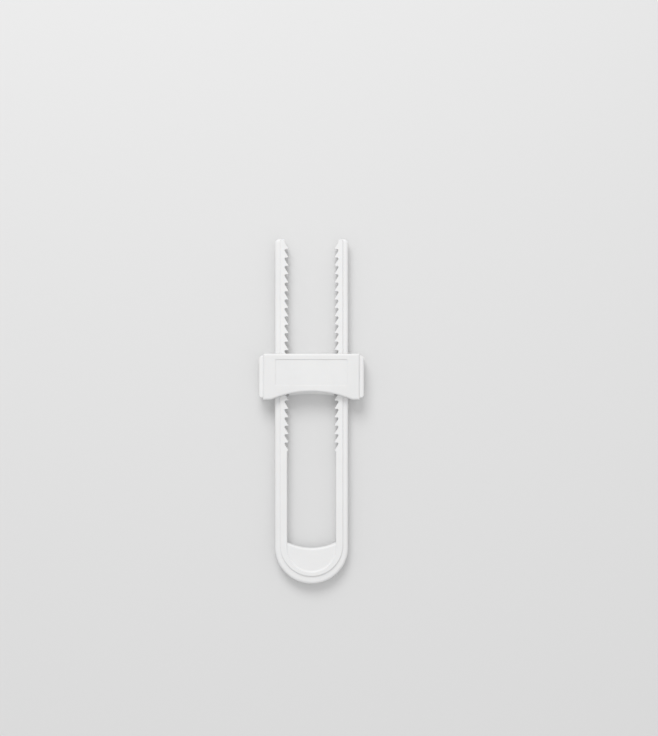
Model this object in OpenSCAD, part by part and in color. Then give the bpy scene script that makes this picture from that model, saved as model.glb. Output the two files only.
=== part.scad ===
// Sliding cabinet lock: a toothed U-bar that goes round two knobs, and a block that slides along its arms.
// The lock lies on its back. X runs across the arms, Y along them to their open ends, Z up from the back.
// The origin is below the middle of the bar, level with the back of the block. All lengths are millimetres.

/* [Bar] */
// Length of the bar, from its closed end to the tips of the arms
bar_length = 205; // [185:1:260]
// Width of the low rim along the outside of the bar
rim_width = 3; // [2.4:0.1:3.4]
// Width added to the rim at the bottom of the closed end
rim_extra = 1.5; // [0:0.1:1.8]
// Thickness of the low rim
rim_thickness = 5; // [4:0.1:6]
// Radius of the outer edges of the rim
rim_radius = 1.6; // [0.6:0.1:1.9]
// Width of the raised rail along the inside of the bar
rail_width = 4.2; // [3.8:0.1:4.8]
// Thickness of the raised rail
rail_thickness = 7; // [6.4:0.1:8]
// Radius of the edges of the rail
rail_radius = 0.6; // [0.3:0.1:1]
// Radius of the outer corners at the tips of the arms
arm_tip_radius = 2.4; // [1:0.1:3]

/* [Web] */
// From the closed end to the middle of the hollow edge of the web
web_reach = 21.2; // [16:0.1:30]
// Depth of the hollow in the edge of the web
web_hollow = 3.5; // [2:0.1:6]
// Thickness of the web
web_thickness = 5.6; // [4:0.1:6.2]
// Radius of the edges of the web
web_radius = 1.4; // [0.5:0.1:1.8]

/* [Teeth] */
// Distance from tooth to tooth
tooth_pitch = 5; // [4.6:0.1:5.4]
// Height of a tooth
tooth_height = 2.1; // [1.7:0.1:2.4]
// How far the tips of the teeth stand in from the plain inner edge of the arm
tooth_proud = 0.6; // [0.2:0.1:1]
// Width of the flat on the tip of a tooth
tip_flat = 0.5; // [0.3:0.1:0.9]
// Radius at the bottom of the notch between two teeth
notch_radius = 0.8; // [0.5:0.1:0.9]
// From the closed end to the tip of the first tooth
first_tooth = 79; // [65:0.1:85]
// Plain length left at the open end of an arm, past the last tooth
plain_end = 6; // [5.5:0.1:9]

/* [Block] */
// Width of the block over both squeeze pads
lock_width = 62.4; // [61.6:0.2:66]
// How far the block reaches past the bar on each side
lock_overhang = 9.5; // [9.2:0.1:11]
// Height of the block at its wings
lock_height = 27.3; // [26.8:0.1:31]
// Rise of the hollow lower edge of the front cover
front_hollow = 4.9; // [4:0.1:6.5]
// How far the hollow edge of the rear cover reaches below that of the front cover
rear_lip = 1.6; // [0.4:0.1:2.4]
// Radius of the inner corners at the bottom of the wings
wing_radius = 2.6; // [2.2:0.1:3]
// Flat at the bottom of a wing, out from its inner corner
wing_flat = 3.4; // [2:0.1:5]
// Radius of the outer corners of the covers
corner_radius = 0.5; // [0.3:0.1:0.6]
// Radius of the edges round the front of the block
front_edge = 1.2; // [0.6:0.1:1.3]
// Radius of the edges round the back of the block
rear_edge = 0.8; // [0.4:0.1:1.2]
// Thickness of the front wall
front_wall = 2.3; // [1.8:0.1:3]
// Thickness of the back wall
rear_wall = 1.8; // [1.4:0.1:2.6]
// Thickness of the walls along the top and bottom of the block
side_wall = 1.3; // [1.1:0.1:1.7]
// Thickness of the walls above and below a pad
mouth_wall = 0.6; // [0.6:0.1:1.2]
// Thickness of the front wall over a pad
mouth_front = 0.9; // [0.7:0.1:1.6]

/* [Front panel] */
// Border at each end of the sunk panel on the front
panel_side = 9.8; // [7:0.1:16]
// Border above the sunk panel
panel_border = 3.3; // [2.6:0.1:4]
// Border below the sunk panel, above the top of the hollow edge
panel_foot = 3.4; // [2.6:0.1:8]
// Depth of the sunk panel
panel_depth = 0.45; // [0.3:0.05:0.8]
// Radius of the corners of the sunk panel
panel_radius = 0.8; // [0.4:0.1:3]

/* [Squeeze buttons] */
// How far a pad still stands out of the block when it is pressed home
pad_left_out = 0.2; // [0.1:0.1:1]
// Length of the skirt of a pad inside the block
pad_skirt = 1.6; // [1.2:0.1:2]
// Wall thickness of a pad
pad_wall = 1.6; // [1.2:0.1:1.8]
// Radius of the upper and lower outer corners of a pad
pad_edge = 3; // [1.4:0.1:4]
// Radius of the front and back outer edges of a pad
pad_brow = 1.6; // [1:0.1:2.4]
// Radius of the corners of a pad, seen from the end of the block
pad_corner = 1.6; // [1:0.1:2.4]
// Thickness of the bridge that joins the pad to the pawl across the arm
bridge_thickness = 2; // [1.6:0.1:3]
// Thickness of the pawl behind its teeth
pawl_body = 3; // [2.4:0.1:3.6]
// From the top of the block down to the upper end of a pawl
pawl_drop = 3.05; // [2.9:0.05:4]
// Bar tooth, counted from the first, that the lowest pawl tooth bears on
rest_tooth = 9; // [1:1:20]

/* [Springs] */
// Outside diameter of a spring
spring_diameter = 4.2; // [3.8:0.1:5.5]
// Diameter of the spring wire
spring_wire = 0.5; // [0.4:0.05:0.6]
// Turns of a spring
spring_turns = 6; // [4:1:8]
// Length of the pegs that hold the ends of a spring
peg_length = 1.4; // [0.8:0.1:1.8]

/* [Pins and ribs] */
// Diameter of the pins that join the covers
pin_diameter = 2; // [1.6:0.1:2.2]
// Diameter of the bosses that the pins are pressed into
boss_diameter = 3.2; // [3:0.1:3.6]
// Thickness of the rib between the two springs
centre_rib = 1.8; // [1.2:0.1:2.6]
// Width of the rib between the two springs, along the arms
centre_rib_width = 8; // [6:0.1:9]
// Thickness of the small guide ribs inside the covers
guide_rib = 1; // [0.8:0.1:1.2]

/* [Clearances] */
// Gap between the bar and the block that slides on it
bar_gap = 0.3; // [0.2:0.05:0.4]
// Gap between a button and the covers that guide it
slide_gap = 0.2; // [0.15:0.05:0.3]
// Gap between the teeth of a pawl and the teeth of the bar
tooth_gap = 0.25; // [0.15:0.05:0.3]
// Gap between the pawl and the bar teeth when the button is pressed home
release_gap = 0.55; // [0.4:0.05:0.7]
// Gap between a pin and its boss
pin_gap = 0.05; // [0.02:0.01:0.1]
// Gap at each end of a spring
spring_gap = 0.1; // [0.05:0.05:0.2]

/* [Hidden] */
$fn = 96;
// Overrun of every cut past the face that it leaves
overrun = 1;
// Overlap of pieces of one moulding that are joined
weld = 0.3;

// Places across the bar, on its right arm
arm_out = lock_width / 2 - lock_overhang;
rail_out = arm_out - rim_width;
arm_in = rail_out - rail_width;
tip_x = arm_in - tooth_proud;

// Places along the bar
apex_y = -bar_length / 2;
arm_end_y = bar_length / 2;
rim_bend_y = apex_y + arm_out;
rail_bend_y = rim_bend_y + rim_extra;
first_y = apex_y + first_tooth;
tooth_count = floor((bar_length - first_tooth - plain_end) / tooth_pitch) + 1;

// Heights
bar_z = rear_wall + bar_gap + rail_thickness / 2;
bridge_z = bar_z + rail_thickness / 2 + bar_gap;
front_in = bridge_z + bridge_thickness + slide_gap;
lock_depth = front_in + front_wall;
split_z = bar_z;

// Pawls, with as many teeth as there is room for above the hollow edge
pawl_high = lock_height - pawl_drop;
pawl_room = pawl_high - front_hollow - side_wall - slide_gap;
pawl_teeth = floor(pawl_room / tooth_pitch);
pawl_rise = pawl_high + tooth_gap - (pawl_teeth - 1) * tooth_pitch;
pawl_low = pawl_rise - tooth_pitch;

// Block: its own Y starts at the bottom of the wings
lock_y = first_y + rest_tooth * tooth_pitch - pawl_rise;
travel = tooth_height - tooth_gap + release_gap;
pad_reach = travel + pad_left_out;
lock_half = lock_width / 2;
sleeve_half = lock_half - pad_reach;
wing_x = sleeve_half - corner_radius - wing_flat;
// Corners of the mouth that a pad goes into, along Y and Z
mouth_low = [mouth_wall, rear_wall];
mouth_high = [lock_height - mouth_wall, lock_depth - mouth_front];
cavity_high = lock_height - side_wall;
// Steps round the curves of the outline of the block
edge_steps = 4;
corner_steps = 3;
wing_steps = 6;
hollow_steps = 24;
// Least radius of a corner of the outline where it is drawn in
least_radius = 0.15;

// Buttons
pad_in = sleeve_half - pad_skirt;
tunnel_x = pad_in - travel - slide_gap;
pawl_face = tip_x - tooth_gap;
pawl_back = pawl_face - pawl_body;

// Front panel
panel_width = lock_width - 2 * panel_side;
panel_height = lock_height - front_hollow - panel_border - panel_foot;

// Springs and their pegs
spring_y = (pawl_low + pawl_high) / 2;
spring_radius = (spring_diameter - spring_wire) / 2;
peg_diameter = spring_diameter - 2 * spring_wire - 2 * slide_gap;
spring_start = centre_rib / 2 + spring_gap + spring_wire / 2;
spring_end = pawl_back - spring_gap - spring_wire / 2;
wire_sides = 6;
rings_per_turn = 16;

// Pins and bosses
// Height of the floor of a boss above the back wall
boss_floor = 2;
bore_z = rear_wall + boss_floor;
pin_end_z = bore_z + slide_gap;
// The pins are rooted in the front wall, above the mouths and below the sunk panel
pin_root_z = mouth_high.y + (mouth_front - panel_depth) / 2;
boss_top = bridge_z - slide_gap;
end_pin = [arm_out + bar_gap + (boss_diameter + guide_rib) / 2, spring_y];
low_pin = [0, front_hollow + side_wall + slide_gap + boss_diameter / 2];
high_pin = [0, cavity_high - slide_gap - boss_diameter / 2];
pins = [end_pin, [-end_pin.x, end_pin.y], low_pin, high_pin];

// The round hollow under the block, tangent to the round bottoms of the wings
function hollow_r(rise) =
    (wing_x ^ 2 + (wing_radius - rise) ^ 2 - wing_radius ^ 2) / (2 * rise);
function hollow_y(rise) = rise - hollow_r(rise);
function hollow_half_angle(rise) = atan2(wing_x, wing_radius - hollow_y(rise));

// Points on a circle, from one angle to another
function arc(centre, r, from, to, steps) = [
    for (i = [0 : steps])
        let (turn = from + (to - from) * i / steps)
        centre + r * [cos(turn), sin(turn)]
];

// Outline of the block without its pads, drawn in by an inset, as points that go round it anticlockwise
function outline(rise, inset) =
    let (
        r = max(corner_radius - inset, least_radius),
        out = sleeve_half - inset - r,
        low = inset + r,
        high = lock_height - inset - r,
        meet = hollow_half_angle(rise),
        wing_r = wing_radius - inset,
        hollow = arc([0, hollow_y(rise)], hollow_r(rise) + inset, 90 + meet, 90 - meet, hollow_steps)
    )
    concat(
        arc([wing_x, wing_radius], wing_r, 270 - meet, 270, wing_steps),
        arc([out, low], r, 270, 360, corner_steps),
        arc([out, high], r, 0, 90, corner_steps),
        arc([-out, high], r, 90, 180, corner_steps),
        arc([-out, low], r, 180, 270, corner_steps),
        arc([-wing_x, wing_radius], wing_r, 270, 270 + meet, wing_steps),
        [for (i = [1 : hollow_steps - 1]) hollow[i]]
    );

// The notch between two teeth, from the tip of the upper tooth: its round bottom and its slanting flank
notch_centre = [tooth_height - notch_radius, -notch_radius];
flank_foot = [0, tip_flat - tooth_pitch];
flank_span = notch_centre - flank_foot;
flank_angle = atan2(flank_span.y, flank_span.x) - asin(notch_radius / norm(flank_span));

// Lays a flat profile across the bar and runs it along Y
module along_y(from, to) {
    translate([0, from, 0])
        rotate([90, 0, 0])
            translate([0, 0, from - to])
                linear_extrude(to - from)
                    children();
}

// Lays a flat profile across X and runs it along X
module along_x(from, to) {
    translate([from, 0, 0])
        rotate([90, 0, 90])
            linear_extrude(to - from)
                children();
}

module both_sides() {
    children();
    mirror([1, 0, 0])
        children();
}

// A rectangle with round corners
module round_rect(low, high, r) {
    span = high - low;
    for (x = [low.x + r, high.x - r], y = [low.y + r, high.y - r])
        translate([x, y])
            circle(r);
    translate([low.x + r, low.y])
        square([span.x - 2 * r, span.y]);
    translate([low.x, low.y + r])
        square([span.x, span.y - 2 * r]);
}

// Section of the raised rail of the right arm, from its inner edge
module rail_section(inner, gap = 0) {
    top = [rail_out + gap, rail_thickness / 2 + gap];
    round_rect([inner - gap, -top.y], top, rail_radius);
}

// Section of the low rim of the right arm, from inside the rail
module rim_section(gap = 0) {
    top = [arm_out + gap, rim_thickness / 2 + gap];
    round_rect([rail_out - rail_width / 2, -top.y], top, rim_radius);
}

// Notch between two teeth, or with a gap the tooth that fits it, reaching back to a depth behind the tips
module notch(gap, back) {
    bottom = notch_radius - gap;
    flank_top = notch_centre + bottom * [sin(flank_angle), -cos(flank_angle)];
    flank_low = flank_top.y - (flank_top.x + back) * tan(flank_angle);
    polygon([
        [-back, -gap],
        [notch_centre.x, -gap],
        notch_centre,
        flank_top,
        [-back, flank_low],
    ]);
    translate(notch_centre)
        circle(bottom);
}

module arm() {
    difference() {
        translate([0, 0, bar_z]) {
            along_y(rim_bend_y, arm_end_y)
                rim_section();
            along_y(rail_bend_y, arm_end_y)
                rail_section(arm_in);
            along_y(first_y, arm_end_y)
                rail_section(tip_x);
        }
        translate([0, 0, bar_z - rail_thickness / 2 - overrun])
            linear_extrude(rail_thickness + 2 * overrun) {
                for (i = [1 : tooth_count])
                    translate([tip_x, first_y + i * tooth_pitch])
                        notch(0, overrun);
                translate([tip_x - overrun, first_y + tooth_count * tooth_pitch - notch_radius])
                    square([tooth_height + overrun, bar_length]);
                arm_tip_cut();
            }
    }
}

// Leaves the outer corner at the tip of an arm round
module arm_tip_cut() {
    difference() {
        translate([arm_out - arm_tip_radius, arm_end_y - arm_tip_radius])
            square(arm_tip_radius + overrun);
        translate([arm_out - arm_tip_radius, arm_end_y - arm_tip_radius])
            circle(arm_tip_radius);
    }
}

// Web that fills the closed end, with a hollow edge that is round on both faces
module web() {
    chord = arm_in + weld;
    edge_r = (chord ^ 2 + web_hollow ^ 2) / (2 * web_hollow);
    edge_y = apex_y + web_reach + edge_r;
    straight = max(apex_y + web_reach + web_hollow - rail_bend_y, 0) + overrun;
    difference() {
        translate([0, 0, bar_z - web_thickness / 2])
            linear_extrude(web_thickness) {
                translate([0, rail_bend_y])
                    circle(chord);
                translate([-chord, rail_bend_y])
                    square([2 * chord, straight]);
            }
        translate([0, edge_y, bar_z])
            rotate_extrude()
                web_edge_cut(edge_r);
    }
}

module web_edge_cut(edge_r) {
    half = web_thickness / 2;
    difference() {
        translate([0, -half - overrun])
            square([edge_r + web_radius, web_thickness + 2 * overrun]);
        translate([edge_r, web_radius - half])
            square([web_radius + overrun, web_thickness - 2 * web_radius]);
        for (z = [web_radius - half, half - web_radius])
            translate([edge_r + web_radius, z])
                circle(web_radius);
    }
}

module u_bar() {
    color("whitesmoke") {
        both_sides()
            arm();
        bend(rim_bend_y)
            rim_section();
        bend(rail_bend_y)
            rail_section(arm_in);
        web();
    }
}

// Runs a section round the closed end
module bend(y) {
    translate([0, y, bar_z])
        rotate([0, 0, 180])
            rotate_extrude(angle = 180)
                children();
}

// Half of the block as a solid, lofted through its outline, with a round edge of radius r round its far face
module soft_slab(rise, height, r) {
    edge_turns = [for (i = [0 : edge_steps]) 90 * i / edge_steps];
    levels = concat(
        [[-overrun, 0]],
        [for (turn = edge_turns) [height - r + r * sin(turn), r - r * cos(turn)]],
        [[height + overrun, r]]
    );
    rings = [
        for (level = levels)
            [for (point = outline(rise, level[1])) [point.x, point.y, level[0]]]
    ];
    intersection() {
        loft(rings);
        translate([-lock_half, -overrun, 0])
            cube([lock_width, lock_height + 2 * overrun, height]);
    }
}

// Solid through a stack of rings that all have the same number of points
module loft(rings) {
    count = len(rings[0]);
    last = (len(rings) - 1) * count;
    sides = [
        for (i = [0 : len(rings) - 2], j = [0 : count - 1])
            let (
                next = (j + 1) % count,
                a = i * count + j,
                b = i * count + next,
                c = a + count,
                d = b + count
            )
            each [[a, c, d], [a, d, b]]
    ];
    low_cap = [for (j = [0 : count - 1]) j];
    high_cap = [for (j = [count - 1 : -1 : 0]) last + j];
    polyhedron([for (ring = rings) each ring], concat(sides, [low_cap, high_cap]));
}

// Room inside the block between the covers
module cavity() {
    difference() {
        translate([-tunnel_x - weld, side_wall])
            square([2 * (tunnel_x + weld), cavity_high - side_wall]);
        translate([0, hollow_y(front_hollow)])
            circle(hollow_r(front_hollow) + side_wall);
    }
}

// The open ends of the block, where the pads go in
module mouths() {
    both_sides()
        along_x(tunnel_x, sleeve_half + overrun)
            round_rect(mouth_low, mouth_high, pad_corner + slide_gap);
}

// The ways for the two arms
module arm_ways() {
    translate([0, 0, bar_z])
        both_sides()
            along_y(-overrun, lock_height + overrun) {
                rail_section(tip_x, bar_gap);
                rim_section(bar_gap);
            }
}

module panel() {
    translate([0, lock_height - panel_border, lock_depth - panel_depth])
        linear_extrude(panel_depth + overrun)
            round_rect([-panel_width / 2, -panel_height], [panel_width / 2, 0], panel_radius);
}

module front_cover() {
    color("white")
        translate([0, lock_y, 0]) {
            difference() {
                translate([0, 0, split_z])
                    soft_slab(front_hollow, lock_depth - split_z, front_edge);
                translate([0, 0, split_z - overrun])
                    linear_extrude(front_in - split_z + overrun)
                        cavity();
                mouths();
                arm_ways();
                panel();
            }
            for (place = pins)
                translate([place.x, place.y, pin_end_z])
                    cylinder(d = pin_diameter, h = pin_root_z - pin_end_z);
            both_sides()
                bridge_guides();
        }
}

// Ribs on the inside of the front that keep the bridge of a button straight
module bridge_guides() {
    rib_z = bridge_z + slide_gap;
    for (y = [pawl_low - slide_gap - guide_rib, pawl_high + slide_gap])
        translate([pawl_back, y, rib_z])
            cube([tunnel_x - weld - pawl_back, guide_rib, front_in - rib_z + weld]);
}

module rear_cover() {
    rear_hollow = front_hollow - rear_lip;
    color("ghostwhite")
        translate([0, lock_y, 0]) {
            difference() {
                union() {
                    difference() {
                        translate([0, 0, split_z])
                            mirror([0, 0, 1])
                                soft_slab(rear_hollow, split_z, rear_edge);
                        translate([0, 0, rear_wall])
                            linear_extrude(split_z)
                                cavity();
                        mouths();
                    }
                    both_sides()
                        translate([arm_out + bar_gap, side_wall, rear_wall - weld])
                            cube([guide_rib, cavity_high - side_wall + weld, split_z - rear_wall + weld]);
                    for (place = pins)
                        translate([place.x, place.y, rear_wall - weld])
                            cylinder(d = boss_diameter, h = boss_top - rear_wall + weld);
                    spring_stop();
                }
                arm_ways();
                for (place = pins)
                    translate([place.x, place.y, bore_z])
                        cylinder(d = pin_diameter + 2 * pin_gap, h = lock_depth);
            }
        }
}

// Rib between the two springs, with a peg on each side
module spring_stop() {
    translate([-centre_rib / 2, spring_y - centre_rib_width / 2, rear_wall - weld])
        cube([centre_rib, centre_rib_width, boss_top - rear_wall + weld]);
    translate([-centre_rib / 2 - peg_length, spring_y, bar_z])
        rotate([0, 90, 0])
            cylinder(d = peg_diameter, h = centre_rib + 2 * peg_length);
}

// Right squeeze button: the pad, the bridge over the arm, and the pawl inside it
module button() {
    translate([0, lock_y, 0]) {
        difference() {
            union() {
                pad();
                translate([pawl_back, pawl_low, bridge_z])
                    cube([lock_half - pad_wall + weld - pawl_back, pawl_high - pawl_low, bridge_thickness]);
            }
            pin_slot();
        }
        pawl();
    }
}

// Slot in the bridge and the pad that runs along the end pin and stops the button from coming out
module pin_slot() {
    width = pin_diameter + 2 * slide_gap;
    translate([end_pin.x, end_pin.y, bridge_z - overrun])
        linear_extrude(lock_depth - bridge_z + overrun) {
            circle(d = width);
            translate([travel, 0])
                circle(d = width);
            translate([0, -width / 2])
                square([travel, width]);
        }
}

module pad() {
    room = [slide_gap, slide_gap];
    low = mouth_low + room;
    high = mouth_high - room;
    inner = [pad_wall, pad_wall];
    difference() {
        intersection() {
            along_x(pad_in, lock_half)
                round_rect(low, high, pad_corner);
            linear_extrude(lock_depth)
                pad_profile(low.x, high.x, pad_edge);
            along_y(low.x, high.x)
                pad_profile(low.y, high.y, pad_brow);
        }
        along_x(pad_in - overrun, lock_half - pad_wall)
            round_rect(low + inner, high - inner, pad_corner - pad_wall / 2);
        boss_path();
    }
}

// Side view of a pad, with round outer corners
module pad_profile(low, high, r) {
    round_rect([pad_in - 2 * r, low], [lock_half, high], r);
}

// Notch in the skirt of a pad that clears the end boss
module boss_path() {
    half = boss_diameter / 2 + slide_gap;
    translate([pad_in - overrun, end_pin.y - half, 0])
        cube([end_pin.x + half + travel - pad_in + overrun, 2 * half, bar_z]);
}

module pawl() {
    base_z = rear_wall + slide_gap;
    translate([0, 0, base_z])
        linear_extrude(bridge_z + weld - base_z) {
            translate([pawl_back, pawl_low])
                square([pawl_body, pawl_high - pawl_low]);
            for (i = [0 : pawl_teeth - 1])
                translate([tip_x, pawl_rise + i * tooth_pitch])
                    notch(tooth_gap, tooth_gap + weld);
        }
    translate([pawl_back - peg_length, spring_y, bar_z])
        rotate([0, 90, 0])
            cylinder(d = peg_diameter, h = peg_length + weld);
}

module right_button() {
    color("snow")
        button();
}

module left_button() {
    color("snow")
        mirror([1, 0, 0])
            button();
}

// Points of the spring wire: rings of points round a helix that runs out along X
function helix_point(turn) = [
    spring_start + (spring_end - spring_start) * turn / spring_turns,
    lock_y + spring_y + spring_radius * cos(360 * turn),
    bar_z + spring_radius * sin(360 * turn),
];
function wire_ring(turn) = [
    for (i = [0 : wire_sides - 1])
        let (
            side = 360 * i / wire_sides,
            reach = spring_wire / 2 * cos(side),
            out = [0, cos(360 * turn), sin(360 * turn)]
        )
        helix_point(turn) + reach * out + [spring_wire / 2 * sin(side), 0, 0]
];

module spring() {
    rings = spring_turns * rings_per_turn;
    points = [for (i = [0 : rings]) each wire_ring(i / rings_per_turn)];
    sides = [
        for (i = [0 : rings - 1], j = [0 : wire_sides - 1])
            let (
                next = (j + 1) % wire_sides,
                a = i * wire_sides + j,
                b = i * wire_sides + next,
                c = a + wire_sides,
                d = b + wire_sides
            )
            each [[a, b, d], [a, d, c]]
    ];
    start_cap = [for (j = [1 : wire_sides - 2]) [0, j + 1, j]];
    last = rings * wire_sides;
    end_cap = [for (j = [1 : wire_sides - 2]) [last, last + j, last + j + 1]];
    polyhedron(points, concat(sides, start_cap, end_cap));
}

module right_spring() {
    color("silver")
        spring();
}

module left_spring() {
    color("silver")
        mirror([1, 0, 0])
            spring();
}

u_bar();
front_cover();
rear_cover();
left_button();
right_button();
left_spring();
right_spring();
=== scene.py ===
import math

import bmesh
import bpy
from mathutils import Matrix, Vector


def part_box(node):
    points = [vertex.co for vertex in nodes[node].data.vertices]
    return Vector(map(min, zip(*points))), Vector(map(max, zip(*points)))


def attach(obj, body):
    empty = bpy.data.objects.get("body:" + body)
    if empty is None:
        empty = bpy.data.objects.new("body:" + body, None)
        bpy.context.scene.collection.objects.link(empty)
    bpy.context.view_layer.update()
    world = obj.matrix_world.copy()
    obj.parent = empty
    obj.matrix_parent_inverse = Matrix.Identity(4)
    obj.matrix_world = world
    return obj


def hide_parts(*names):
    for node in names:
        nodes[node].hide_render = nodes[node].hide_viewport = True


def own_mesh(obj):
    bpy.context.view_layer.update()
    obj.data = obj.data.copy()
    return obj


# A sliding cabinet lock, dressed. A finer bar and finer springs take the place of their CAD nodes.
# The covers and buttons keep theirs. Lengths are millimetres, as in the CAD source, until a mesh is made.
MM = 0.001

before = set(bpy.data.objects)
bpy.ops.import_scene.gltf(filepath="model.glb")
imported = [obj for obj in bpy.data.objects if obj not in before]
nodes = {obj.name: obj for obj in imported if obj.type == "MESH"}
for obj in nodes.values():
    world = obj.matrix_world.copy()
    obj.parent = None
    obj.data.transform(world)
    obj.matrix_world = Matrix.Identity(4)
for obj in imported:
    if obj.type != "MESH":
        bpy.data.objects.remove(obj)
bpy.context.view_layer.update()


def node_box(name):
    """Lowest and highest corner of a CAD node, in millimetres."""
    low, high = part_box(name)
    return low / MM, high / MM


# Places that the frame gives
bar_low, bar_high = node_box("u_bar")
APEX_Y = bar_low.y
ARM_END_Y = bar_high.y
ARM_OUT = bar_high.x
BAR_Z = (bar_low.z + bar_high.z) / 2
RAIL_HALF = (bar_high.z - bar_low.z) / 2
spring_low, spring_high = node_box("right_spring")

# Rim, the low outer part of the bar, which is wider at the bottom of the closed end
RIM_WIDTH = 3
RIM_EXTRA = 1.5
RIM_HALF = 2.5
RIM_RADIUS = 1.6
ARM_TIP_RADIUS = 2.4
# Ridge that the joint of the mould leaves round the rim
SEAM = 0.04

# Rail, the raised inner part of the bar
RAIL_WIDTH = 4.2
RAIL_RADIUS = 0.6
# How far the rail ends short of the tips of the arms
RAIL_SETBACK = 0.35
RAIL_OUT = ARM_OUT - RIM_WIDTH
ARM_IN = RAIL_OUT - RAIL_WIDTH
RIM_BEND_Y = APEX_Y + ARM_OUT
RAIL_BEND_Y = RIM_BEND_Y + RIM_EXTRA

# Teeth on the inner edges of the arms, with tips that stand in a little from the plain edge
PITCH = 5
TOOTH_HEIGHT = 2.1
TOOTH_PROUD = 0.6
TIP_FLAT = 0.5
TIP_ROUND = 0.2
TOOTH_EDGE = 0.15
NOTCH_RADIUS = 0.8
# From the closed end to the tip of the first tooth
FIRST_TOOTH = 79
TOOTH_COUNT = 25
TIP_X = ARM_IN - TOOTH_PROUD
FIRST_Y = APEX_Y + FIRST_TOOTH

# Web that fills the closed end, out to the middle of its hollow edge
WEB_REACH = 21.2
WEB_HOLLOW = 3.5
WEB_HALF = 2.8
WEB_RADIUS = 1.4
WEB_FILLET = 1.2
# How far the web reaches into the rail, and how far the hollow edge runs on past the plain inner edge
WEB_SUNK = 0.9
WEB_CHORD_EXTRA = 0.3

# Springs, with turns that lie close together at each end
SPRING_WIRE = 0.5
SPRING_TURNS = 6
CLOSED_TURNS = 0.9

# Radii of the softened edges of the CAD nodes that are kept
COVER_EDGES = {"front_cover": 0.25, "rear_cover": 0.2}
BUTTON_EDGES = {"left_button": 0.2, "right_button": 0.2}
BEVEL_STEPS = 3
BEVEL_ANGLE = math.radians(40)
# Faces of the CAD mesh that turn by less than this are one face
FLAT_ANGLE = math.radians(1)

# Edges that turn by more than this are sharp
SHARP_ANGLE = math.radians(35)
WIRE_SHARP_ANGLE = math.radians(60)

# Steps of the curves
CORNER_STEPS = 3
EDGE_STEPS = 5
RIM_OUTER_STEPS = 112
RIM_INNER_STEPS = 64
RIM_EDGE_STEPS = 7
ARM_TIP_STEPS = 10
RAIL_OUTER_STEPS = 96
RAIL_INNER_STEPS = 80
NOTCH_STEPS = 8
WEB_STEPS = 96
WEB_FILLET_STEPS = 10
WEB_EDGE_STEPS = 8
CUTTER_STEPS = 240
RINGS_PER_TURN = 32
WIRE_SIDES = 12

# Points of an outline that are closer than this are one point
SAME_POINT = 1e-4
# Points of a mesh that are closer than this are merged, and shorter edges are taken out, in metres
MERGE_DISTANCE = 2e-6
SHORTEST_EDGE = 1e-6
# Limits how far a sharp corner moves when an outline is drawn in
LEAST_MITRE = 0.3

# Camera, straight down on the lock and framed as in the photograph
MM_PER_PIXEL = 0.595
IMAGE_HEIGHT = 736
AIM = (10.4, 25.8, 7.0)
CAMERA_HEIGHT = 1200
SENSOR = 36
CLIP_END = 10

# Plastic: scales of the cloudy colour, the uneven gloss and the grain
CLOUD_SCALE = 55
GLOSS_SCALE = 420
GLOSS_SPREAD = 0.05
GRAIN_SCALE = 3200
GRAIN_DETAIL = 2
GRAIN_DEPTH = 0.00002
PLASTIC_IOR = 1.49
# Light that is scattered just below the surface
GLOW_WEIGHT = 0.08
GLOW_RADIUS = (1, 0.9, 0.8)
GLOW_SCALE = 0.0008

# Spring wire: scales of the streaks and of the uneven gloss
WIRE_DARK = (0.42, 0.43, 0.45, 1)
WIRE_LIGHT = (0.62, 0.63, 0.65, 1)
STREAK_SCALE = 900
WIRE_GLOSS_SCALE = 2600
WIRE_ROUGH = (0.22, 0.38)

# Most values of a noise lie in this part of its range
NOISE_LOW = 0.3
NOISE_HIGH = 0.7
NOISE_DETAIL = 3

# Places of the colour sockets of a mix node, which has other sockets of the same names
MIX_DARK = 6
MIX_LIGHT = 7
MIX_RESULT = 2

# Floor, just under the lock, in metres
FLOOR_HALF = 2
FLOOR_Z = -0.0002
FLOOR_COLOUR = (0.75, 0.75, 0.75, 1)
FLOOR_ROUGH = 0.7

# Lights, in metres and watts: soft light from the far side, a little to the left, and a weak fill
KEY_PLACE = (-0.2, 0.95, 1.05)
KEY_SIZE = 0.8
KEY_POWER = 8.7
FILL_PLACE = (0.5, -0.9, 1.2)
FILL_SIZE = 1.4
FILL_POWER = 1
WORLD_COLOUR = (1, 1, 1, 1)
WORLD_STRENGTH = 0.68


def arc(centre, r, start, end, steps):
    """Points on a circle, from one angle to another, in degrees."""
    turns = [math.radians(start + (end - start) * i / steps) for i in range(steps + 1)]
    return [(centre[0] + r * math.cos(t), centre[1] + r * math.sin(t)) for t in turns]


def rounded(before, corner, after, r, steps=CORNER_STEPS):
    """Points of a small arc in place of a corner."""
    c, a, b = Vector(corner), Vector(before), Vector(after)
    u, v = (a - c).normalized(), (b - c).normalized()
    half = u.angle(v) / 2
    centre = c + (u + v).normalized() * (r / math.sin(half))
    first = c + u * (r / math.tan(half)) - centre
    last = c + v * (r / math.tan(half)) - centre
    swing = math.degrees(first.angle_signed(last))
    start = math.degrees(math.atan2(first.y, first.x))
    return arc(centre, r, start, start - swing, steps)


def without_repeats(points):
    """The closed line without points that lie on the one before."""
    kept = []
    for p in points:
        if not kept or math.dist(p[:2], kept[-1][:2]) > SAME_POINT:
            kept.append(p)
    return kept[:-1] if math.dist(kept[0][:2], kept[-1][:2]) < SAME_POINT else kept


def mirrored(line):
    """The line on the other side of the bar, run the other way."""
    return [(-p[0], *p[1:]) for p in reversed(line)]


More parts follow.
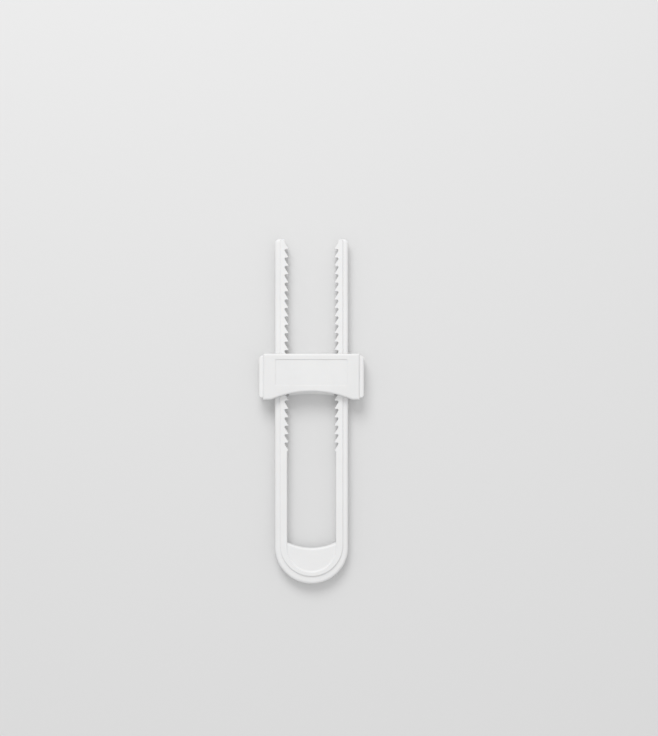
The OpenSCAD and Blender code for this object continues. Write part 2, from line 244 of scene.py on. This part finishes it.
def inward(points):
    """For each point of a closed anticlockwise line, how it moves when the line is drawn in by one."""
    moves = []
    for i, p in enumerate(points):
        a, b = Vector(points[i - 1][:2]), Vector(points[(i + 1) % len(points)][:2])
        c = Vector(p[:2])
        d1, d2 = (c - a).normalized(), (b - c).normalized()
        n1, n2 = Vector((-d1.y, d1.x)), Vector((-d2.y, d2.x))
        moves.append((n1 + n2) / max(1 + n1.dot(n2), LEAST_MITRE))
    return moves


def both_faces(upper):
    """(height, offset) pairs of an upper half, with the same below the middle of the bar."""
    return [(-z, offset) for z, offset in reversed(upper)] + upper


def soft_levels(half, wall=(), steps=EDGE_STEPS):
    """Levels of a plate of a given half thickness with round edges, and of any extra steps in its wall."""
    turns = [math.pi / 2 * i / steps for i in range(steps + 1)]

    def levels(r):
        """(height, inset) pairs for one edge radius."""
        top = [(half - r + r * math.sin(t), r - r * math.cos(t)) for t in turns]
        return both_faces([*wall, *top])

    return levels


def finished(name, mesh):
    """Object made of a bmesh, with its faces turned outward."""
    bmesh.ops.recalc_face_normals(mesh, faces=mesh.faces)
    data = bpy.data.meshes.new(name)
    mesh.to_mesh(data)
    mesh.free()
    obj = bpy.data.objects.new(name, data)
    bpy.context.scene.collection.objects.link(obj)
    return obj


def skinned(name, rings):
    """Closed solid through rings of points, in millimetres, with as many points in each."""
    mesh = bmesh.new()
    rows = [[mesh.verts.new(p * MM) for p in ring] for ring in rings]
    count = len(rows[0])
    for low, high in zip(rows, rows[1:]):
        for i in range(count):
            j = (i + 1) % count
            mesh.faces.new((low[i], low[j], high[j], high[i]))
    mesh.faces.new(list(reversed(rows[0])))
    mesh.faces.new(rows[-1])
    return finished(name, mesh)


def stacked(name, points, levels):
    """Closed solid through rings drawn in from one plan of (x, y, edge radius) points.

    levels gives, for an edge radius, the (height, inset) pairs that the rings pass through.
    """
    points = without_repeats(points)
    moves = inward(points)
    columns = [levels(r) for x, y, r in points]
    rings = []
    for k in range(len(columns[0])):
        ring = []
        for (x, y, r), move, column in zip(points, moves, columns):
            z, inset = column[k]
            ring.append(Vector((x + move.x * inset, y + move.y * inset, BAR_Z + z)))
        rings.append(ring)
    return skinned(name, rings)


def joined(keep, other, operation):
    """Applies a boolean to keep and removes the other object."""
    step = keep.modifiers.new("join", "BOOLEAN")
    step.operation = operation
    step.solver = "EXACT"
    step.object = other
    bpy.context.view_layer.update()
    made = bpy.data.meshes.new_from_object(keep.evaluated_get(bpy.context.evaluated_depsgraph_get()))
    keep.modifiers.clear()
    keep.data = made
    bpy.data.objects.remove(other)
    return keep


def shaded(obj, angle=SHARP_ANGLE):
    """Smooth shading that keeps flat faces flat and real corners sharp."""
    obj.data.shade_smooth()
    obj.data.set_sharp_from_angle(angle=angle)
    even = obj.modifiers.new("even", "WEIGHTED_NORMAL")
    even.keep_sharp = True
    return obj


def inner_edge():
    """Inner edge of the right arm from its tip down to the bend, with each point's edge radius."""
    notch = (TIP_X + TOOTH_HEIGHT - NOTCH_RADIUS, -NOTCH_RADIUS)
    span = Vector((notch[0] - TIP_X, notch[1] - TIP_FLAT + PITCH))
    flank = math.degrees(math.atan2(span.y, span.x) - math.asin(NOTCH_RADIUS / span.length))
    line = [(TIP_X + TOOTH_HEIGHT, ARM_END_Y - RAIL_SETBACK, TOOTH_EDGE)]
    for i in range(TOOTH_COUNT, 0, -1):
        y = FIRST_Y + i * PITCH
        start = 0 if i == TOOTH_COUNT else 90
        bottom = arc((notch[0], y + notch[1]), NOTCH_RADIUS, start, flank - 90, NOTCH_STEPS)
        tip_high, tip_low = (TIP_X, y - PITCH + TIP_FLAT), (TIP_X, y - PITCH)
        below = (ARM_IN, tip_low[1]) if i == 1 else (notch[0], tip_low[1])
        tip = rounded(bottom[-1], tip_high, tip_low, TIP_ROUND)
        tip += rounded(tip_high, tip_low, below, TIP_ROUND)
        line += [(x, v, TOOTH_EDGE) for x, v in bottom + tip]
    line.append((ARM_IN, FIRST_Y, TOOTH_EDGE))
    line.append((ARM_IN, FIRST_Y - 2 * RAIL_RADIUS, RAIL_RADIUS))
    return line


def make_rail():
    """Raised rail along the inside of the bar, with its teeth."""
    edge = inner_edge()
    outer = arc((0, RAIL_BEND_Y), RAIL_OUT, 180, 360, RAIL_OUTER_STEPS)
    inner = arc((0, RIM_BEND_Y), ARM_IN, 0, -180, RAIL_INNER_STEPS)
    end_y = ARM_END_Y - RAIL_SETBACK
    plan = [(-RAIL_OUT, end_y, RAIL_RADIUS)]
    plan += [(x, y, RAIL_RADIUS) for x, y in outer]
    plan += [(RAIL_OUT, end_y, RAIL_RADIUS)]
    plan += edge + [(x, y, RAIL_RADIUS) for x, y in inner] + mirrored(edge)
    return stacked("rail", plan, soft_levels(RAIL_HALF))


def make_rim():
    """Low rim round the outside of the bar. Its inner side is hidden in the rail."""
    inside = RAIL_OUT - RAIL_WIDTH / 2
    tip_middle = (ARM_OUT - ARM_TIP_RADIUS, ARM_END_Y - ARM_TIP_RADIUS)
    tip = arc(tip_middle, ARM_TIP_RADIUS, 0, 90, ARM_TIP_STEPS)
    right_end = [(x, y, RIM_RADIUS) for x, y in tip] + [(inside, ARM_END_Y, RIM_RADIUS)]
    outer = arc((0, RIM_BEND_Y), ARM_OUT, 180, 360, RIM_OUTER_STEPS)
    inner = arc((0, RIM_BEND_Y), inside, 0, -180, RIM_INNER_STEPS)
    plan = mirrored(right_end) + [(x, y, RIM_RADIUS) for x, y in outer] + right_end
    plan += [(x, y, SEAM) for x, y in inner]
    ridge = [(SEAM, -SEAM), (2 * SEAM, 0)]
    return stacked("rim", plan, soft_levels(RIM_HALF, ridge, RIM_EDGE_STEPS))


def make_web():
    """Web across the closed end, with a fillet up to the rail and a hollow edge."""
    reach = ARM_IN + WEB_SUNK
    top_y = APEX_Y + WEB_REACH + WEB_HOLLOW + WEB_RADIUS
    plan = arc((0, RIM_BEND_Y), reach, 180, 360, WEB_STEPS) + [(reach, top_y), (-reach, top_y)]
    rise = RAIL_HALF - WEB_HALF
    swing = math.acos(1 - rise / WEB_FILLET)
    # The fillet starts inside the rounded edge of the rail, and stays just below its top
    fillet_in = WEB_SUNK - RAIL_RADIUS / 2 + WEB_FILLET * math.sin(swing)
    highest = RAIL_HALF - RAIL_RADIUS / 4
    upper = [(WEB_HALF, 0)]
    for i in range(WEB_FILLET_STEPS + 1):
        t = swing * (1 - i / WEB_FILLET_STEPS)
        z = WEB_HALF + WEB_FILLET * (1 - math.cos(t))
        upper.append((min(z, highest), fillet_in - WEB_FILLET * math.sin(t)))
    levels = both_faces(upper)
    blank = stacked("web", [(x, y, 0) for x, y in plan], lambda r: levels)
    return joined(blank, make_web_cutter(), "DIFFERENCE")


def make_web_cutter():
    """Round cutter that leaves the hollow edge of the web, rounded on both faces."""
    chord = ARM_IN + WEB_CHORD_EXTRA
    edge_r = (chord**2 + WEB_HOLLOW**2) / (2 * WEB_HOLLOW)
    edge_y = APEX_Y + WEB_REACH + edge_r
    widest = edge_r + WEB_RADIUS
    edge = arc((widest, WEB_HALF - WEB_RADIUS), WEB_RADIUS, 180, 90, WEB_EDGE_STEPS)
    profile = [(z, r) for r, z in edge] + [(2 * RAIL_HALF, widest)]
    turns = [2 * math.pi * i / CUTTER_STEPS for i in range(CUTTER_STEPS)]
    rings = []
    for z, r in both_faces(profile):
        rings.append([Vector((r * math.cos(t), edge_y + r * math.sin(t), BAR_Z + z)) for t in turns])
    return skinned("cutter", rings)


def make_bar():
    """The whole bar as one closed mesh: rim, rail and web."""
    bar = joined(make_rim(), make_rail(), "UNION")
    bar = joined(bar, make_web(), "UNION")
    bar.name = "toothed_bar"
    mesh = bmesh.new()
    mesh.from_mesh(bar.data)
    bmesh.ops.remove_doubles(mesh, verts=mesh.verts, dist=MERGE_DISTANCE)
    bmesh.ops.dissolve_degenerate(mesh, edges=mesh.edges, dist=SHORTEST_EDGE)
    mesh.to_mesh(bar.data)
    mesh.free()
    return shaded(bar)


def make_spring(name, side):
    """Compression spring with closed ends, coiled along X from the middle rib out to the pawl."""
    middle_y = (spring_low.y + spring_high.y) / 2
    radius = (spring_high.y - spring_low.y - SPRING_WIRE) / 2
    start, end = spring_low.x + SPRING_WIRE / 2, spring_high.x - SPRING_WIRE / 2
    closed = CLOSED_TURNS * SPRING_WIRE

    def along(turn):
        """How far out the wire is after a number of turns."""
        left = SPRING_TURNS - turn
        if turn < CLOSED_TURNS:
            return start + SPRING_WIRE * turn
        if left < CLOSED_TURNS:
            return end - SPRING_WIRE * left
        share = (turn - CLOSED_TURNS) / (SPRING_TURNS - 2 * CLOSED_TURNS)
        return start + closed + (end - start - 2 * closed) * share

    rings = []
    for i in range(SPRING_TURNS * RINGS_PER_TURN + 1):
        turn = i / RINGS_PER_TURN
        a = 2 * math.pi * turn
        out = Vector((0, math.cos(a), math.sin(a)))
        centre = Vector((along(turn), middle_y, BAR_Z)) + radius * out
        ring = []
        for j in range(WIRE_SIDES):
            b = 2 * math.pi * j / WIRE_SIDES
            spot = centre + SPRING_WIRE / 2 * (math.cos(b) * out + math.sin(b) * Vector((1, 0, 0)))
            ring.append(Vector((side * spot.x, spot.y, spot.z)))
        rings.append(ring)
    return shaded(skinned(name, rings), WIRE_SHARP_ANGLE)


def soften(node, width):
    """Rounds the sharp edges of a carried-over CAD node and evens its shading."""
    obj = nodes[node]
    obj.data.shade_smooth()
    weld = obj.modifiers.new("weld", "WELD")
    weld.merge_threshold = MERGE_DISTANCE
    flat = obj.modifiers.new("flat", "DECIMATE")
    flat.decimate_type = "DISSOLVE"
    flat.angle_limit = FLAT_ANGLE
    edge = obj.modifiers.new("edge", "BEVEL")
    edge.width = width * MM
    edge.segments = BEVEL_STEPS
    edge.limit_method = "ANGLE"
    edge.angle_limit = BEVEL_ANGLE
    even = obj.modifiers.new("even", "WEIGHTED_NORMAL")
    even.keep_sharp = True
    return obj


def node_tree(name):
    """A new material, its node tree and its shader."""
    mat = bpy.data.materials.new(name)
    mat.use_nodes = True
    tree = mat.node_tree
    return mat, tree, tree.nodes["Principled BSDF"]


def object_place(tree):
    """Socket with the place of a point on its own object."""
    return tree.nodes.new("ShaderNodeTexCoord").outputs["Object"]


def noise(tree, place, scale, detail=NOISE_DETAIL):
    """Socket with a noise of a given scale."""
    tex = tree.nodes.new("ShaderNodeTexNoise")
    tex.inputs["Scale"].default_value = scale
    tex.inputs["Detail"].default_value = detail
    tree.links.new(place, tex.inputs["Vector"])
    return tex.outputs["Fac"]


def spread(tree, value, low, high):
    """Maps the middle of a noise to a range."""
    span = tree.nodes.new("ShaderNodeMapRange")
    span.inputs["From Min"].default_value = NOISE_LOW
    span.inputs["From Max"].default_value = NOISE_HIGH
    span.inputs["To Min"].default_value = low
    span.inputs["To Max"].default_value = high
    tree.links.new(value, span.inputs["Value"])
    return span.outputs["Result"]


def mottled(tree, place, scale, dark, light):
    """Socket with a colour that a noise varies between two."""
    mix = tree.nodes.new("ShaderNodeMix")
    mix.data_type = "RGBA"
    mix.inputs[MIX_DARK].default_value = dark
    mix.inputs[MIX_LIGHT].default_value = light
    tree.links.new(spread(tree, noise(tree, place, scale), 0, 1), mix.inputs["Factor"])
    return mix.outputs[MIX_RESULT]


def plastic(name, dark, light, rough, grain):
    """White moulded plastic: faint cloudy grey, uneven gloss and a fine moulded grain."""
    mat, tree, shader = node_tree(name)
    place = object_place(tree)
    colour = mottled(tree, place, CLOUD_SCALE, (dark, dark, dark, 1), (light, light, light, 1))
    tree.links.new(colour, shader.inputs["Base Color"])
    gloss = spread(tree, noise(tree, place, GLOSS_SCALE), rough - GLOSS_SPREAD, rough + GLOSS_SPREAD)
    tree.links.new(gloss, shader.inputs["Roughness"])
    bump = tree.nodes.new("ShaderNodeBump")
    bump.inputs["Strength"].default_value = grain
    bump.inputs["Distance"].default_value = GRAIN_DEPTH
    tree.links.new(noise(tree, place, GRAIN_SCALE, GRAIN_DETAIL), bump.inputs["Height"])
    tree.links.new(bump.outputs["Normal"], shader.inputs["Normal"])
    shader.inputs["IOR"].default_value = PLASTIC_IOR
    shader.inputs["Subsurface Weight"].default_value = GLOW_WEIGHT
    shader.inputs["Subsurface Radius"].default_value = GLOW_RADIUS
    shader.inputs["Subsurface Scale"].default_value = GLOW_SCALE
    return mat


def steel(name):
    """Drawn spring wire: grey metal with fine streaks."""
    mat, tree, shader = node_tree(name)
    place = object_place(tree)
    colour = mottled(tree, place, STREAK_SCALE, WIRE_DARK, WIRE_LIGHT)
    tree.links.new(colour, shader.inputs["Base Color"])
    gloss = spread(tree, noise(tree, place, WIRE_GLOSS_SCALE), *WIRE_ROUGH)
    tree.links.new(gloss, shader.inputs["Roughness"])
    shader.inputs["Metallic"].default_value = 1.0
    return mat


def dress(obj, mat):
    """Gives an object one material."""
    obj.data.materials.clear()
    obj.data.materials.append(mat)


def make_camera():
    """Camera above the lock, with a lens that gives the photograph's scale."""
    lens = bpy.data.cameras.new("camera")
    lens.sensor_width = SENSOR
    lens.lens = SENSOR * (CAMERA_HEIGHT - AIM[2]) / (MM_PER_PIXEL * IMAGE_HEIGHT)
    lens.clip_end = CLIP_END
    camera = bpy.data.objects.new("camera", lens)
    camera.location = (AIM[0] * MM, AIM[1] * MM, CAMERA_HEIGHT * MM)
    bpy.context.scene.collection.objects.link(camera)
    bpy.context.scene.camera = camera


def make_floor():
    """Plain pale floor."""
    mesh = bmesh.new()
    bmesh.ops.create_grid(mesh, x_segments=1, y_segments=1, size=FLOOR_HALF)
    floor = finished("floor", mesh)
    floor.location.z = FLOOR_Z
    mat, tree, shader = node_tree("floor")
    shader.inputs["Base Color"].default_value = FLOOR_COLOUR
    shader.inputs["Roughness"].default_value = FLOOR_ROUGH
    dress(floor, mat)
    return floor


def area_light(name, place, size, power):
    """Round soft light that faces the lock."""
    light = bpy.data.lights.new(name, "AREA")
    light.shape = "DISK"
    light.size = size
    light.energy = power
    obj = bpy.data.objects.new(name, light)
    obj.location = place
    obj.rotation_euler = (-Vector(place)).to_track_quat("-Z", "Y").to_euler()
    bpy.context.scene.collection.objects.link(obj)


def make_world():
    """Even white light from all round."""
    world = bpy.data.worlds.new("studio")
    world.use_nodes = True
    background = world.node_tree.nodes["Background"]
    background.inputs["Color"].default_value = WORLD_COLOUR
    background.inputs["Strength"].default_value = WORLD_STRENGTH
    bpy.context.scene.world = world
    bpy.context.scene.view_settings.view_transform = "Standard"


make_camera()

# Materials: darkest and lightest grey, roughness and strength of the grain
bar_plastic = plastic("bar_plastic", 0.825, 0.855, rough=0.48, grain=0.25)
cover_plastic = plastic("cover_plastic", 0.8, 0.83, rough=0.5, grain=0.35)
button_plastic = plastic("button_plastic", 0.835, 0.865, rough=0.46, grain=0.25)
spring_steel = steel("spring_steel")

# Bar
bar = make_bar()
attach(bar, "bar")
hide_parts("u_bar")
dress(bar, bar_plastic)

# Covers and buttons
for name, width in COVER_EDGES.items():
    dress(soften(name, width), cover_plastic)
for name, width in BUTTON_EDGES.items():
    dress(soften(name, width), button_plastic)

# Springs, coiled out from the rib in the middle, made to the size of their CAD nodes
for name, side in (("left", -1), ("right", 1)):
    coil = make_spring(name + "_coil", side)
    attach(coil, "lock")
    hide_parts(name + "_spring")
    dress(coil, spring_steel)
    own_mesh(coil)

# Floor and light
floor = make_floor()
area_light("key", KEY_PLACE, KEY_SIZE, KEY_POWER)
area_light("fill", FILL_PLACE, FILL_SIZE, FILL_POWER)
make_world()
